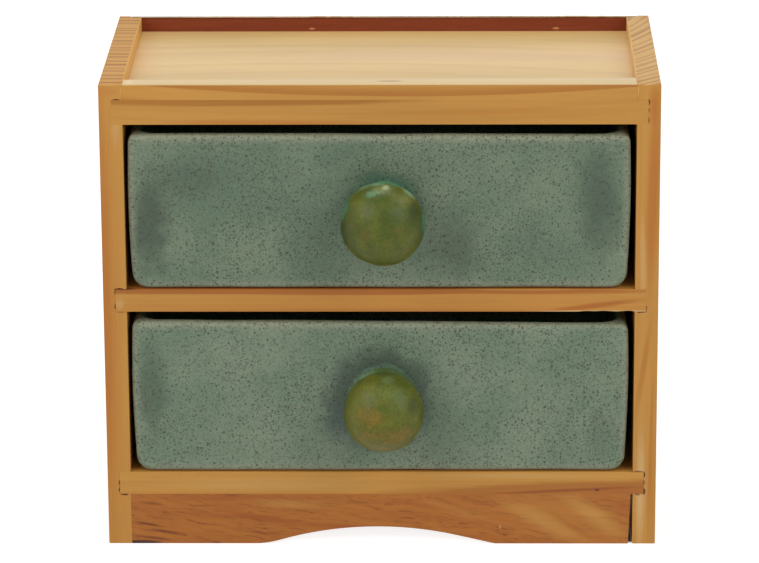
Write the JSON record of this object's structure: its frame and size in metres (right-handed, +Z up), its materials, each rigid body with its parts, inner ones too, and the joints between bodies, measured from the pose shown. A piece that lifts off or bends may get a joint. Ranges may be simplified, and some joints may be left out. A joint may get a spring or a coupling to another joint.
{
  "type": "tea bag drawer box",
  "caption": "Small tabletop tea bag chest: dadoed pine case with a tray top and arched apron, and glazed stoneware drawers with ball knobs that slide on its shelves",
  "frame": {"origin": "on the surface that the box stands on, at the bottom centre of the whole object's bounding box, knobs included", "axes": "+X to the right as the drawers are faced, +Y from the front to the back, +Z up"},
  "size_m": [0.285, 0.1872, 0.247],
  "materials": {
    "case_pine": "honey-coloured pine with a thin clear satin finish; ring bands along the edges, growth rings on the sides' top ends",
    "apron_pine": "redder, darker pine heartwood with brown streaks, clear satin finish",
    "back_sheet": "thin sheet, dark reddish-brown face, paler tan edge, matte",
    "brad_steel": "bright drawn steel brads, slightly dulled",
    "celadon_glaze": "satin-matte celadon stoneware glaze, cloudy blue-green, dense fine iron speckle, warmer where it thins on edges and rims",
    "olive_glaze": "glossy olive-green glaze mottled with amber, turquoise where it meets the drawer's glaze"
  },
  "bodies": {
    "case": {"left_side_panel": "case_pine", "right_side_panel": "case_pine", "top_panel": "case_pine", "middle_shelf": "case_pine", "bottom_shelf": "case_pine", "top_front_lip": "case_pine", "front_apron": "apron_pine", "back_panel": "back_sheet", "back_panel_brads": "brad_steel"},
    "upper_drawer": {"upper_drawer_tub": "celadon_glaze", "upper_drawer_knob": "olive_glaze"},
    "lower_drawer": {"lower_drawer_tub": "celadon_glaze", "lower_drawer_knob": "olive_glaze"}
  },
  "joints": [
    {"name": "upper_drawer_slide", "type": "slide", "parent": "case", "child": "upper_drawer", "axis": [0, -1, 0], "range_m": [0, 0.11]},
    {"name": "lower_drawer_slide", "type": "slide", "parent": "case", "child": "lower_drawer", "axis": [0, -1, 0], "range_m": [0, 0.11]}
  ]
}
